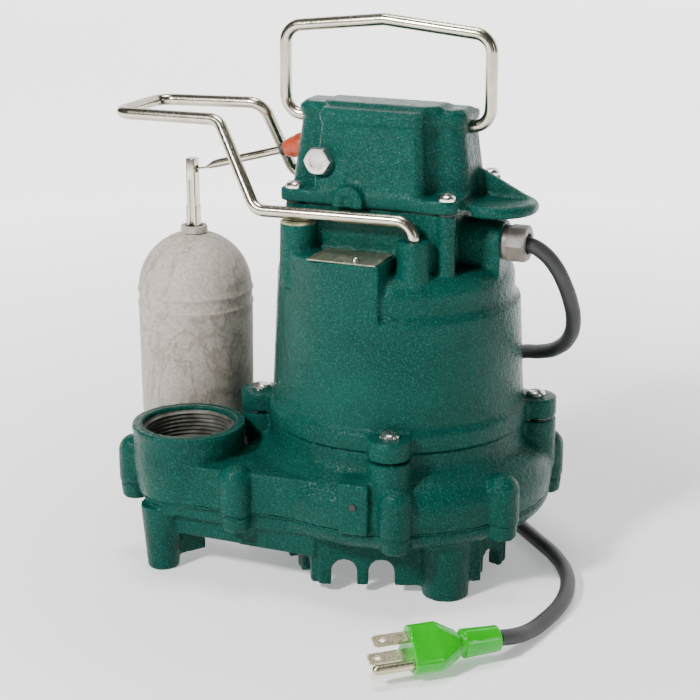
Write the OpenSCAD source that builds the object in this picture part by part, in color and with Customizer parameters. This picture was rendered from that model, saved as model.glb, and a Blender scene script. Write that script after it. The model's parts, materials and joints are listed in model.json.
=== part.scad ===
// Submersible sump pump with a vertical float switch.
// Millimetres, +Z up. The origin is where the motor's axis meets the floor.
// +X points to the power cord's side, -X to the float, -Y to the front.

/* [Motor housing] */
// Radius of the motor cylinder at its foot
housing_r = 67.3; // [60:0.1:75]
// Radius of the motor cylinder at its shoulder
housing_top_r = 64; // [58:0.1:70]
// Height of the joint between the motor housing and the volute
joint_z = 80.5; // [76:0.5:90]
// Height of the housing's round shoulder
shoulder_z = 171; // [165:0.5:176]
// Height of the flat pad that carries the nameplate
pad_z = 176.5; // [176:0.5:180]
// Thickness of the cast walls
wall = 5; // [4:0.5:7]
// Radius of the circle of flange screws
flange_screw_r = 73.9; // [72:0.1:78]
// Angle of the first flange screw
flange_screw_a = 17.8; // [0:0.1:30]

/* [Switch case] */
// Height of the gasket under the switch case
case_z = 199; // [196:0.5:204]
// Height of the top of the switch case
case_top_z = 250.5; // [244:0.5:256]
// Middle of the switch case along X
case_x = -2.5; // [-6:0.5:2]
// Width of the switch case's foot
case_w = 93; // [86:1:100]
// Depth of the switch case's foot
case_d = 78; // [70:1:84]
// Lean of the case's walls, as the loss of half width at its top
case_lean = 6; // [3:0.5:8]

/* [Handle and guard] */
// Diameter of the bent stainless wire
wire_d = 6.35; // [5:0.05:8]
// Height of the handle's hinge
handle_z = 238.5; // [232:0.5:242]
// Height of the top of the handle
handle_top_z = 284; // [280:0.5:300]
// Radial clearance of a hinge or a shaft
running = 0.06; // [0.02:0.01:0.1]

/* [Float switch] */
// Radius of the float
float_r = 31.5; // [28:0.5:32]
// Top of the float's upper dome
float_top_z = 167.5; // [160:0.5:170]
// Bottom of the float's lower dome
float_bottom_z = 37; // [34:1:60]
// Distance of the float's axis from the motor's axis
float_x = -123; // [-126:0.5:-121]
// Offset of the float's line from the motor's axis
float_y = 4; // [2:0.5:6]
// Height of the arm's pivot in the case's wall
arm_z = 222; // [218:0.5:226]
// Height of the arm's tip in the float rod's slot
tip_z = 202.5; // [198:0.5:206]

/* [Volute and base] */
// Radius of the volute
volute_r = 84; // [80:0.5:90]
// Height of the seam between the volute and the base
seam_z = 42; // [38:0.5:46]
// Place of the discharge's axis
discharge = [-98, -56]; // [-110:0.5:-40]
// Height of the discharge's mouth
discharge_z = 79; // [76:0.5:84]
// Radius of the discharge's threaded wall
thread_r = 24.1; // [24:0.05:24.3]
// Radius of the suction inlet
inlet_r = 24; // [20:0.5:30]

/* [Power cord] */
// Diameter of the cord's jacket
cord_d = 8; // [6:0.5:10]

/* [Hidden] */
$fn = 96;

green = "#0b5a45";
steel = "#c9c3b4";
grey = "#a39a8f";
far = 400;
wire_r = wire_d / 2;
cord_r = cord_d / 2;

// Main heights that follow from the driving dimensions
flange_top_z = joint_z + 10;
cavity_top_z = 166;
chamber_step_z = 157;
wiring_floor_z = 177;
seal_top_z = 73;
gasket_t = 0.8;
base_top_z = seam_z - gasket_t;
neck_w = case_w - 4;
neck_d = case_d - 4;
case_y = 0;
lug_z = case_z + 7.5;
lug_x = case_w / 2 - 5;
lug_y = case_d / 2 - 4.5;
bowl_z = 30;
head_z = seam_z - 4;
foot_z = 5;

// Angles and places
flange_angles = [for (i = [0:3]) flange_screw_a + 90 * i];
case_screw_xy = [for (sx = [-1, 1], sy = [-1, 1])
    [case_x - 0.5 + sx * lug_x, case_y + sy * lug_y]];
lobe_angles = [26, -28, -69.5, 74, 120, 163];
lobe_xy = concat([for (a = lobe_angles) 82 * [cos(a), sin(a)]], [[-59, -80], [-130, -58]]);
lobe_r = 9;
guard_boss_xy = [[25, -45], [25, 45]];
spare_boss_xy = [[-39.5, -41], [-39.5, 41]];
guard_boss_z = 187;
spare_boss_z = 190.5;
handle_y = -3;
port_y = -2;
port_z = 180;
gland_x = 59.5;
nut_x = 62;
nut_end_x = 71.5;
nut_r = 10;
arm_pivot_x = -51;
boot_r = 7.4;
shaft_r = 6;
bearing_r = 14;
inner_r = 59;

// Vector helpers
function unit(v) = v / norm(v);
function arc(c, r, a0, a1, n = 8) =
    [for (i = [0:n]) let (a = a0 + (a1 - a0) * i / n) c + r * [cos(a), sin(a)]];
function turn(p, i) = acos(max(-1, min(1, unit(p[i] - p[i - 1]) * unit(p[i + 1] - p[i]))));
function cut(p, i, bend) =
    (i == 0 || i == len(p) - 1) ? 0 : bend * tan(turn(p, i) / 2);

// A frame whose columns are x, y and z, at the point o
module frame_at(x, y, z, o) {
    multmatrix([[x[0], y[0], z[0], o[0]], [x[1], y[1], z[1], o[1]],
                [x[2], y[2], z[2], o[2]], [0, 0, 0, 1]]) children();
}

// A round bar from a to b
module bar(a, b, r, r_end = undef) {
    z = unit(b - a);
    x = unit(cross(abs(z[2]) < 0.9 ? [0, 0, 1] : [1, 0, 0], z));
    frame_at(x, cross(z, x), z, a)
        cylinder(h = norm(b - a), r1 = r, r2 = is_undef(r_end) ? r : r_end);
}

// A smooth line through the points p, with k steps between each two
function spline(p, k) = [for (i = [0:len(p) - 2], j = [0:k - (i == len(p) - 2 ? 0 : 1)])
    let (a = p[max(i - 1, 0)], b = p[i], c = p[i + 1], d = p[min(i + 2, len(p) - 1)], t = j / k)
    0.5 * (2 * b + (c - a) * t + (2 * a - 5 * b + 4 * c - d) * t * t
           + (3 * b - a - 3 * c + d) * t * t * t)];
function along(q) = [for (i = [0:len(q) - 1])
    unit(q[min(i + 1, len(q) - 1)] - q[max(i - 1, 0)])];
function sides(t, n, i = 0) = i == len(t) ? []
    : let (m = unit(n - (n * t[i]) * t[i])) concat([m], sides(t, m, i + 1));

// A closed tube of k sides swept along the line q
module swept_tube(q, r, start_side, k = 10) {
    t = along(q);
    n = sides(t, start_side);
    rings = [for (i = [0:len(q) - 1], j = [0:k - 1])
        q[i] + r * (cos(360 * j / k) * n[i] + sin(360 * j / k) * cross(t[i], n[i]))];
    last = (len(q) - 1) * k;
    polyhedron(rings, concat(
        [[for (j = [0:k - 1]) j]],
        [for (i = [0:len(q) - 2], j = [0:k - 1])
            let (a = i * k + j, b = i * k + (j + 1) % k) [a, b + k, b]],
        [for (i = [0:len(q) - 2], j = [0:k - 1])
            let (a = i * k + j, b = i * k + (j + 1) % k) [a, a + k, b + k]],
        [[for (j = [k - 1:-1:0]) last + j]]));
}

// Round wire bent at each inner point of p; the straights run a hair into the bends
module bent_wire(p, r, bend, into = 0.3, thin = 0.995) {
    n = len(p) - 1;
    for (i = [0:n - 1]) {
        u = unit(p[i + 1] - p[i]);
        bar(p[i] + u * (i == 0 ? 0 : cut(p, i, bend) - into),
            p[i + 1] - u * (i == n - 1 ? 0 : cut(p, i + 1, bend) - into), r * thin);
    }
    for (i = [1:n - 1]) {
        u = unit(p[i] - p[i - 1]);
        w = unit(cross(u, p[i + 1] - p[i]));
        in = cross(w, u);
        frame_at(-in, u, w, p[i] - u * cut(p, i, bend) + in * bend)
            rotate_extrude(angle = turn(p, i)) translate([bend, 0]) circle(r);
    }
}

// Upright cylinder between two heights
module post(xy, r, z0, z1, r_top = undef) {
    translate([xy[0], xy[1], z0])
        cylinder(h = z1 - z0, r1 = r, r2 = is_undef(r_top) ? r : r_top);
}

// Cylinder along the cord port's axis
module along_x(x0, x1, r) {
    translate([x0, port_y, port_z]) rotate([0, 90, 0]) cylinder(h = x1 - x0, r = r);
}

// Rectangle with round corners
module rounded(w, d, r) {
    square([w - 2 * r, d], center = true);
    square([w, d - 2 * r], center = true);
    for (sx = [-1, 1], sy = [-1, 1])
        translate([sx * (w / 2 - r), sy * (d / 2 - r)]) circle(r, $fn = 48);
}

// Pan head screw, its head sitting on the height z
module pan_screw(z, head_r, head_h, shank_r, length) {
    translate([0, 0, z]) difference() {
        union() {
            rotate_extrude() polygon(concat([[0, 0], [head_r, 0]],
                [for (a = [0:15:90]) [head_r * cos(a), head_h * (0.35 + 0.65 * sin(a))]]));
            translate([0, 0, -length]) cylinder(h = length, r = shank_r);
        }
        translate([0, 0, head_h]) {
            cube([head_r * 1.3, 0.9, 1.6], center = true);
            cube([0.9, head_r * 1.3, 1.6], center = true);
        }
    }
}

// ---------------------------------------------------------------- motor housing

// The outline of the neck under the switch case
module neck_outline(grow = 0) {
    translate([case_x, case_y]) rounded(neck_w - 12 + 2 * grow, neck_d + 2 * grow, 5);
    for (xy = case_screw_xy) translate(xy) circle(4.7 + grow);
}

module housing_shell() {
    rotate_extrude() polygon(concat(
        [[0, joint_z], [70, joint_z], [70, flange_top_z - 1], [69, flange_top_z]],
        arc([housing_r + 2.5, flange_top_z + 2.5], 2.5, 270, 180),
        arc([housing_top_r - 12, shoulder_z - 12], 12, 0, 90), [[0, shoulder_z]]));
}

// What is taken off the right side of the shell, which steps in above a ring
step_x = 13;
step_z = 147;
step_r = 61.4;
step_top_z = 169;
module right_step() {
    difference() {
        translate([step_x, -far / 2, step_z]) cube([far, far, far]);
        rotate_extrude() polygon(concat([[0, step_z - 1], [housing_r, step_z - 1],
            [housing_r, step_z]], arc([step_r + 3.5, step_z + 3.5], 3.5, 270, 180, 5),
            arc([step_r - 11, step_top_z - 11], 11, 0, 90), [[0, step_top_z]]));
    }
}

module motor_housing() {
    color(green) difference() {
        union() {
            difference() {
                housing_shell();
                right_step();
            }
            for (a = flange_angles) rotate(a) {
                post([flange_screw_r, 0], 11.2, joint_z, flange_top_z + 0.5);
                translate([60, -10, joint_z]) cube([14, 20, 10]);
            }
            translate([0, 0, shoulder_z - 8])
                linear_extrude(case_z - shoulder_z + 8) neck_outline();
            intersection() {
                translate([-45, -70, shoulder_z - 14]) cube([58, 45, pad_z - shoulder_z + 14]);
                cylinder(h = pad_z, r = housing_top_r + 0.6);
            }
            for (xy = guard_boss_xy) post(xy, 8.6, shoulder_z - 14, guard_boss_z, 8.2);
            for (xy = spare_boss_xy) post(xy, 10.2, shoulder_z - 14, spare_boss_z, 9.6);
            along_x(30, gland_x, 11.5);
            translate([30, port_y - 11.5, shoulder_z - 8]) cube([gland_x - 30, 23, port_z - shoulder_z + 8]);
        }
        // motor chamber, leaving the upper bearing's hub
        post([0, 0], inner_r, joint_z - 1, core_z[1] + 4);
        post([0, 0], inner_r - 4, core_z[1] + 3, chamber_step_z);
        difference() {
            post([0, 0], inner_r - 12, chamber_step_z - 1, cavity_top_z);
            post([0, 0], bearing_r + 5, 0, far);
        }
        post([0, 0], bearing_r, chamber_step_z - 1, cavity_top_z + 1);
        // wiring chamber and the wires' way down to the motor
        translate([case_x, case_y, wiring_floor_z])
            linear_extrude(far) rounded(neck_w - 24, neck_d - 14, 5);
        post([20, 22], 6, cavity_top_z - 4, far);
        // screw holes, guard sockets and cord port
        for (a = flange_angles) rotate(a) post([flange_screw_r, 0], 2.8, joint_z - 1, far);
        for (xy = case_screw_xy) post(xy, 2.1, case_z - 14, far);
        for (xy = guard_boss_xy) post(xy, wire_r, guard_boss_z - 15, far);
        along_x(20, far, 8);
        post([-1, -57.5], 1.25, pad_z - 6, far);
    }
}

module flange_screws() {
    color(steel) for (a = flange_angles) rotate(a)
        translate([flange_screw_r, 0]) pan_screw(flange_top_z + 0.5, 5.2, 3.2, 2.6, 26);
}

module nameplate() {
    color("#8f8d7a") difference() {
        translate([-25.5, -63, pad_z]) cube([37, 25.5, 0.6]);
        post([-1, -57.5], 1.35, pad_z - 1, far);
    }
}

module nameplate_pin() {
    color(steel) {
        post([-1, -57.5], 1.25, pad_z - 6, pad_z + 0.6);
        translate([-1, -57.5, pad_z + 0.6])
            rotate_extrude() polygon(concat([[0, 0]], arc([0, 0], 2, 0, 90, 6)));
    }
}

// ------------------------------------------------------------------ switch case

// The plan of the case's walls about its middle: a long front block crossed by a side
// block that carries the handle, with a cove beside each screw
front_x = [-32, 29];
side_x = [-52.5, 47.5];
side_half = 18.5;
cove_r = 10;
module between(x, d, r) {
    translate([(x[0] + x[1]) / 2, 0]) rounded(x[1] - x[0], d, r);
}
module case_plan() {
    between(front_x, case_d, 5);
    translate([0, handle_y]) between(side_x, 2 * side_half, 9);
    for (i = [0, 1], sy = [-1, 1]) let (sx = 2 * i - 1)
        translate([front_x[i] + sx * cove_r, handle_y + sy * (side_half + cove_r)])
            difference() {
                translate([-sx * cove_r / 2, -sy * cove_r / 2]) square(cove_r + 0.1, center = true);
                circle(cove_r);
            }
}

// The case's walls lean in as they rise
module case_walls(z0, z1, lean) {
    translate([case_x, case_y, z0]) linear_extrude(z1 - z0,
        scale = [1 - 2 * lean / case_w, 1 - 2 * lean / case_d], slices = 1) case_plan($fn = 60);
}

// A slab with the outline of the walls, drawn in by d
module case_slab(z0, z1, d) {
    translate([case_x, case_y, z0]) linear_extrude(z1 - z0)
        scale([1 - 2 * d / case_w, 1 - 2 * d / case_d]) case_plan($fn = 60);
}

// Round beak over the cord's port, with a rib on it
visor_xy = [55.5, -6];
visor_r = 21.5;
visor_z = [196.3, 202.8];
module visor() {
    edge_r = (visor_z[1] - visor_z[0]) / 2;
    difference() {
        union() {
            translate(visor_xy) rotate_extrude() polygon(concat([[0, visor_z[0]]],
                arc([visor_r - edge_r, visor_z[0] + edge_r], edge_r, 270, 450), [[0, visor_z[1]]]));
            translate([33, visor_xy[1] - 18, visor_z[0]])
                cube([visor_xy[0] - 33, 36, visor_z[1] - visor_z[0]]);
        }
        translate([0, -50, 0]) cube([48.5, 100, case_z + gasket_t]);
    }
    translate([0, 5, 0]) rotate([90, 0, 0]) linear_extrude(5)
        polygon([[38, 201], [71, 201], [71, 202.8], [44, 216.5], [38, 216.5]]);
}

bolt_x = -29.5;
bolt_z = 222;
front_boss = [-12, 202.5];
lid_back_y = -5;
lid_fall = 19;

// Draws towards the front from the case's middle plane, at (x, z)
module on_front(xz) {
    translate([xz[0], 0, xz[1]]) rotate([90, 0, 0]) children();
}

module switch_case() {
    color(green) difference() {
        union() {
            case_walls(case_z + gasket_t, case_top_z - 5, case_lean);
            case_slab(case_top_z - 9, case_top_z - 4, case_lean - 2);
            case_slab(case_top_z - 4, case_top_z - 2, case_lean);
            translate([case_x, case_y, case_top_z - 2]) linear_extrude(2) rounded(62, 50, 8);
            translate([case_x, case_y, case_z + gasket_t])
                linear_extrude(lug_z - case_z - gasket_t)
                    between([-case_w / 2 - 3, case_w / 2], case_d, 5);
            visor();
            intersection() {
                on_front(front_boss) cylinder(h = 43.5, r = 8.5);
                translate([-30, -50, case_z + gasket_t]) cube([40, 30, 40]);
            }
        }
        // the lid falls away to the back
        translate([-far / 2, lid_back_y, case_top_z]) rotate([-lid_fall, 0, 0]) cube(far);
        translate([case_x, case_y, case_z]) {
            linear_extrude(case_top_z - case_z - 17) rounded(44, 56, 4);
            linear_extrude(case_top_z - case_z - 9)
                translate([0, handle_y]) rounded(70, 26.5, 4);
        }
        for (xy = case_screw_xy) post(xy, 2.3, case_z, far);
        translate([-far / 2, handle_y, handle_z]) rotate([0, 90, 0])
            cylinder(h = far, r = wire_r + running);
        translate([arm_pivot_x - 20, float_y, arm_z]) rotate([0, 90, 0])
            cylinder(h = 40, r = boot_r + 0.4);
        on_front([bolt_x, bolt_z]) {
            cylinder(h = far, r = 4);
            translate([0, 0, 35]) cylinder(h = far, r = 9);
        }
        on_front(front_boss) translate([0, 0, 42]) cylinder(h = far, r = 3.4);
    }
}

module case_gasket() {
    color("#1b1b1b") difference() {
        translate([0, 0, case_z]) linear_extrude(gasket_t) neck_outline(-0.3);
        translate([case_x, case_y, case_z - 1])
            linear_extrude(4) rounded(neck_w - 24, neck_d - 14, 5);
        for (xy = case_screw_xy) post(xy, 2.3, case_z - 1, far);
    }
}

module case_screws() {
    color(steel) for (xy = case_screw_xy)
        translate(xy) pan_screw(lug_z, 4.6, 3.4, 2.1, 18);
}

module case_bolt() {
    color("#b9b4ae") on_front([bolt_x, bolt_z]) {
        translate([0, 0, 11]) cylinder(h = 24, r = 4);
        translate([0, 0, 35]) difference() {
            intersection() {
                cylinder(h = 6, r = 7.3, $fn = 6);
                rotate_extrude() polygon([[0, 0], [7.3, 0], [7.3, 5.2], [6.4, 6], [0, 6]]);
            }
            translate([0, 0, 5.2]) cylinder(h = 2, r = 3.9);
        }
    }
}

bend_r = 9.5;

module lifting_handle() {
    left = case_x - 60.5;
    right = case_x + 52.5;
    color(steel) bent_wire([[left + 24, handle_y, handle_z], [left, handle_y, handle_z],
        [left, handle_y, handle_top_z], [-8, handle_y, handle_top_z + 6],
        [right, handle_y, handle_top_z + 0.5], [right, handle_y, handle_z],
        [right - 21, handle_y, handle_z]], wire_r, bend_r);
}

module float_guard() {
    color(steel) bent_wire([[25, -45, guard_boss_z - 15], [25, -45, 196.5], [-62, -45, 195],
        [-92, -25, 236.5], [-153, -25, 236], [-153, 25, 235.5], [-90, 25, 237.5],
        [-80, 45, 195], [25, 45, 196.5], [25, 45, guard_boss_z - 15]], wire_r, bend_r);
}

// ------------------------------------------------------------- volute and base

// Where a line touches two circles on their front side
function touch_angle(r1, r2) = atan2(discharge[1], discharge[0])
    + acos((r1 - r2) / norm(discharge));
module wet_outline(r1, r2) {
    a = touch_angle(r1, r2);
    n = [cos(a), sin(a)];
    circle(r1);
    translate(discharge) circle(r2);
    polygon([[0, 0], discharge, discharge + r2 * n, r1 * n]);
}

module volute() {
    color(green) difference() {
        union() {
            rotate_extrude() polygon(concat([[0, seam_z]], [[volute_r - 1, seam_z]],
                arc([volute_r - 17, seam_z + 9], 17, 0, 60), [[70, 70], [68.7, 74]],
                [[68.7, joint_z], [0, joint_z]]));
            translate([0, 0, seam_z]) linear_extrude(22) wet_outline(volute_r - 8, 27);
            post(discharge, 27.5, seam_z, seam_z + 16, 29.5);
            post(discharge, 29.5, seam_z + 16, discharge_z);
            post(discharge, 29.5, discharge_z - 6, discharge_z - 2, 30.3);
            post(discharge, 30.3, discharge_z - 2, discharge_z);
            for (a = flange_angles) rotate(a) post([flange_screw_r, 0], 11.2, seam_z + 10, joint_z - 1.2);
            for (xy = lobe_xy) {
                post(xy, lobe_r, seam_z, seam_z + 17);
                translate([xy[0], xy[1], seam_z + 17]) sphere(lobe_r);
            }
            rotate(-84) translate([70, -8, seam_z]) cube([16.5, 16, 27]);
        }
        // impeller chamber and its way to the discharge
        translate([0, 0, seam_z - 1]) linear_extrude(21) wet_outline(60, 21);
        translate([0, 0, seam_z - 1]) cylinder(h = 25, r = 70);
        post(discharge, thread_r, discharge_z - 22, far);
        post(discharge, 21, seam_z - 1, far);
        // hub bores for the seal and the bearing
        post([0, 0], 12, seam_z, seal_top_z);
        post([0, 0], 9, seam_z, far);
        post([0, 0], bearing_r, joint_z - 4, far);
        for (g = [[59, 55, 1.5], [52, 19, 9]]) difference() {
            post([0, 0], g[0], joint_z - g[2], far);
            post([0, 0], g[1], 0, far);
        }
        for (a = flange_angles) rotate(a) post([flange_screw_r, 0], 2.6, joint_z - 16, far);
        for (xy = lobe_xy) post(xy, 2.6, seam_z - 1, seam_z + 14);
        rotate(-84) translate([60, 0, 57]) rotate([0, 90, 0]) cylinder(h = 40, r = 1.2);
    }
}

module flange_seal() {
    color("#1b1b1b") difference() {
        post([0, 0], 58.8, joint_z - 1.5, joint_z + 0.2);
        post([0, 0], 55.2, joint_z - 2, far);
    }
}

// A wall that follows the line p, from z0 up to z1
module fence(p, thick, z0, z1) {
    for (i = [0:len(p) - 2]) {
        u = unit(p[i + 1] - p[i]);
        frame_at([u[0], u[1], 0], [-u[1], u[0], 0], [0, 0, 1], [p[i][0], p[i][1], z0])
            translate([0, -thick / 2, 0]) cube([norm(p[i + 1] - p[i]), thick, z1 - z0]);
    }
}

// Arched slots cut through a straight stretch of wall from a to b
module arches(a, b, count, w, top_z) {
    u = unit(b - a);
    pitch = norm(b - a) / count;
    frame_at([u[0], u[1], 0], [-u[1], u[0], 0], [0, 0, 1], [a[0], a[1], 0])
        for (i = [0:count - 1]) translate([(i + 0.5) * pitch, 0, 0]) {
            translate([-w / 2, -10, -1]) cube([w, 20, top_z - w / 2 + 1]);
            translate([0, -10, top_z - w / 2]) rotate([-90, 0, 0]) cylinder(h = 20, r = w / 2);
        }
}

skirt = [[-17, -69], [45, -46], [62, -8], [45, 38], [12, 60], [-30, 52], [-58, 20], [-58, -25], [-17, -69]];
left_leg = [-108, -70];
front_leg = [45, -46];
back_leg = [0, 62];

module base() {
    color(green) difference() {
        union() {
            // shallow bowl that closes the volute
            rotate_extrude() polygon(concat([[0, bowl_z + 4]],
                [for (a = [-90:15:0]) [volute_r - 15 + 14 * cos(a),
                    base_top_z - 1 + (base_top_z - 1 - bowl_z) * sin(a)]],
                [[volute_r - 1, base_top_z], [0, base_top_z]]));
            translate([0, 0, bowl_z + 3]) linear_extrude(base_top_z - bowl_z - 3)
                wet_outline(volute_r - 8, 23);
            post(discharge, 20, bowl_z + 2, base_top_z, 27.5);
            for (xy = lobe_xy) post(xy, lobe_r - 1.5, seam_z - 9, base_top_z, lobe_r - 0.5);
            // skirt, rib and legs
            fence(skirt, 7, foot_z, bowl_z + 6);
            fence([[-104, -70], [-17, -71]], 7, 21, bowl_z + 6);
            fence([[45, -46], [60, -36]], 9, foot_z + 2, bowl_z + 8);
            post(skirt[0], 7.5, foot_z - 2, bowl_z + 6);
            post(left_leg, 8.5, 0, bowl_z + 6, 11.5);
            fence([[-108, -70], [-94, -50]], 6, foot_z, bowl_z + 8);
            post(front_leg, 12.3, 0, bowl_z + 6, 14.5);
            post(back_leg, 10.5, 0, bowl_z + 6, 12.5);
        }
        post([0, 0], inlet_r, -1, far);
        arches([-13.6, -67.7], [22.9, -54.2], 2, 13.5, 19);
        arches(skirt[1], skirt[2], 2, 11, 17);
        arches(skirt[2], skirt[3], 3, 11, 17);
        arches(skirt[4], skirt[5], 2, 11, 17);
        arches(skirt[5], skirt[6], 2, 11, 17);
        arches(skirt[6], skirt[7], 3, 11, 17);
        arches(skirt[7], skirt[8], 3, 11, 17);
        for (xy = lobe_xy) post(xy, 2.8, bowl_z - 1, far);
        for (xy = lobe_xy) post(xy, 5.4, 0, head_z);
    }
}

module base_gasket() {
    color(green) translate([0, 0, base_top_z]) linear_extrude(gasket_t) difference() {
        union() {
            wet_outline(volute_r - 8, 26.5);
            circle(volute_r - 1.3);
            for (xy = lobe_xy) translate(xy) circle(lobe_r - 0.7);
        }
        wet_outline(70, 21);
        for (xy = lobe_xy) translate(xy) circle(2.8);
    }
}

module base_screws() {
    color(steel) for (xy = lobe_xy) translate([xy[0], xy[1], head_z])
        rotate([180, 0, 0]) pan_screw(0, 5, 3, 2.6, 17);
}

// --------------------------------------------------------------- turning parts

module impeller() {
    color("#2b2b2b") difference() {
        union() {
            post([0, 0], 52, 62.5, 65.5);
            post([0, 0], 10, 47, 62.5);
            for (i = [0:5]) rotate(60 * i) translate([0, 6, 48]) cube([50, 2.6, 14.5]);
        }
        post([0, 0], shaft_r - 1.2, 46, 58);
        post([0, 0], shaft_r, 58, far);
    }
}

module motor_shaft() {
    color("#b8b8b8") {
        post([0, 0], shaft_r - 1.2, 48, 58);
        post([0, 0], shaft_r, 58, cavity_top_z);
    }
}

core_z = [100, 138];
core_r = 29.4;

module rotor_core() {
    color("#6d7075") difference() {
        post([0, 0], core_r, core_z[0], core_z[1]);
        post([0, 0], shaft_r, 0, far);
    }
}

module rotor_end_rings() {
    color("#c8c9cb") for (z = [core_z[0] - 6, core_z[1]]) difference() {
        union() {
            post([0, 0], core_r - 1, z, z + 6);
            for (i = [0:7]) rotate(45 * i) translate([19, -1, z == core_z[1] ? z : z - 4])
                cube([8, 2, 10]);
        }
        post([0, 0], 15, 0, far);
    }
}

module stator_core() {
    color("#6a6c70") difference() {
        post([0, 0], inner_r, core_z[0] - 2, core_z[1] + 2);
        post([0, 0], core_r + 0.6, 0, far);
        for (i = [0:23]) rotate(15 * i) translate([34, -1.6, 0]) cube([11.4, 3.2, far]);
    }
}

module stator_windings() {
    color("#b5622e") {
        for (z = [core_z[0] - 12, core_z[1] + 2]) rotate_extrude() translate([33, z]) {
            translate([1, 0]) square([12, 10]);
            translate([0, 1]) square([14, 8]);
        }
        for (i = [0:23]) rotate(15 * i) translate([34.2, -1.5, core_z[0] - 3])
            cube([11, 3, core_z[1] - core_z[0] + 6]);
    }
}

module bearing(z0, z1) {
    difference() {
        post([0, 0], bearing_r, z0, z1);
        post([0, 0], shaft_r + running / 2, z0 - 1, far);
        for (z = [z0 - 1, z1 - 1]) difference() {
            post([0, 0], bearing_r - 3, z, z + 2);
            post([0, 0], shaft_r + 2.5, z - 1, far);
        }
    }
}

module upper_bearing() { color("#c0c2c4") bearing(chamber_step_z + 2, cavity_top_z + 1); }
module lower_bearing() { color("#c0c2c4") bearing(joint_z - 4, joint_z + 5); }

module seal_seat() {
    color("#3a3a3c") difference() {
        post([0, 0], 12, 70.8, seal_top_z);
        post([0, 0], shaft_r + 1, 70, far);
    }
}

module seal_ring() {
    color("#202022") difference() {
        post([0, 0], 10.5, 68, 70.5);
        post([0, 0], shaft_r, 60, far);
    }
}

module seal_spring() {
    color("#c9c3b4") difference() {
        post([0, 0], 9.5, 65.5, 68);
        post([0, 0], shaft_r, 60, far);
    }
}

// --------------------------------------------------------- inside the case

switch_xy = [-18, float_y];
lever_pivot = [-9, float_y, 220.5];

module switch_body() {
    color("#26282b") difference() {
        translate([switch_xy[0], switch_xy[1], 204.2]) {
            translate([-15, -6.3, 0]) cube([30, 12.6, 11.5]);
            for (y = [-9, 6]) translate([5, y, 0]) cube([9, 3, 20]);
        }
        translate([lever_pivot[0], -40, lever_pivot[2]]) rotate([-90, 0, 0])
            cylinder(h = 80, r = 1.8 + running);
    }
}

module switch_bracket() {
    color("#c4bda6") difference() {
        union() {
            translate([-34, -14, 202.2]) cube([31, 24, 2]);
            translate([-35, -14, 202.2]) cube([13, 2, 27]);
        }
        on_front([bolt_x, bolt_z]) cylinder(h = far, r = 4.2);
    }
}

module switch_lever() {
    color(steel) {
        translate([lever_pivot[0], float_y - 9, lever_pivot[2]])
            rotate([-90, 0, 0]) cylinder(h = 18, r = 1.8);
        translate([lever_pivot[0] - 25, float_y - 3, lever_pivot[2] + 0.6]) cube([50, 6, 1]);
    }
}

module wire_connectors() {
    color("#b9a21f") for (xy = [[12, -18], [12, 16], [-4, 0]]) {
        post(xy, 6, wiring_floor_z, wiring_floor_z + 5);
        post(xy, 5.5, wiring_floor_z, wiring_floor_z + 14, 3.5);
    }
}

module thermal_protector() {
    color("#333538") translate([40, 0, core_z[1] + 12]) cylinder(h = 4, r = 5);
}

// ---------------------------------------------------------------- float switch

arm_pivot = [arm_pivot_x, float_y, arm_z];
arm_tip = [float_x, float_y, tip_z];
arm_dir = unit(arm_tip - arm_pivot);

// Draws along the arm, with x along it and z across it
module on_arm() {
    z = arm_dir;
    frame_at(z, [0, -1, 0], cross(z, [0, -1, 0]), arm_pivot) children();
}
arm_len = norm(arm_tip - arm_pivot);

module float_arm() {
    color(steel) on_arm() {
        translate([-16, 0, 0]) rotate([0, 90, 0]) cylinder(h = arm_len + 4, r = 2.3);
        translate([arm_len - 13, -1.5, -0.6]) cube([17, 3, 1.2]);
        translate([arm_len - 12, 0, 0]) rotate([0, 90, 0]) cylinder(h = 4, r1 = 2.3, r2 = 0.8);
        translate([-16, 0, 0]) sphere(2.3);
        // round faces on both pivots: a cross pin in the boot and a rolled tip in the rod's slot
        rotate([90, 0, 0]) cylinder(h = 10, r = 1.5, center = true);
        translate([arm_len, 0, 0]) rotate([90, 0, 0]) cylinder(h = 3, r = 1.2, center = true);
    }
}

module arm_boot() {
    color("#c8562a") on_arm() difference() {
        union() {
            sphere(boot_r);
            rotate([0, 90, 0]) cylinder(h = 16.5, r1 = boot_r - 0.6, r2 = 3.8);
        }
        translate([-20, 0, 0]) rotate([0, 90, 0]) cylinder(h = 60, r = 2.3);
        rotate([90, 0, 0]) cylinder(h = 10, r = 1.5, center = true);
    }
}

module arm_collar() {
    color("#2a2622") on_arm() difference() {
        translate([16.5, 0, 0]) rotate([0, 90, 0]) cylinder(h = 2.6, r = 3.5);
        rotate([0, 90, 0]) cylinder(h = 40, r = 2.3);
    }
}

rod_top_z = 208.5;
rod_step_z = 182;
stop_z = float_bottom_z - 4.5;
sleeve_r = 4.7;

// Grooved bar on which the float slides
module float_rod() {
    color(steel) translate([float_x, float_y]) difference() {
        union() {
            translate([-2.6, -3, rod_step_z]) cube([5.2, 6, rod_top_z - rod_step_z]);
            translate([-3.1, -3, stop_z]) cube([6.2, 6, rod_step_z - stop_z]);
        }
        translate([-5, -1.8, tip_z - 1.9]) cube([10, 3.6, 3.8]);
        for (s = [-1, 1]) translate([-0.9, s * 3 - 0.8, stop_z + 8])
            cube([1.8, 1.6, tip_z - 6 - stop_z - 8]);
    }
}

module rod_stop() {
    color(steel) difference() {
        post([float_x, float_y], 7, stop_z, float_bottom_z - 0.3);
        translate([float_x - 3.1, float_y - 3, 0]) cube([6.2, 6, far]);
    }
}

weld_z = [135.7, 127.7];
split_z = (weld_z[0] + weld_z[1]) / 2;
shell_t = 2;
sleeve_wall = 1.2;

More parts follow.
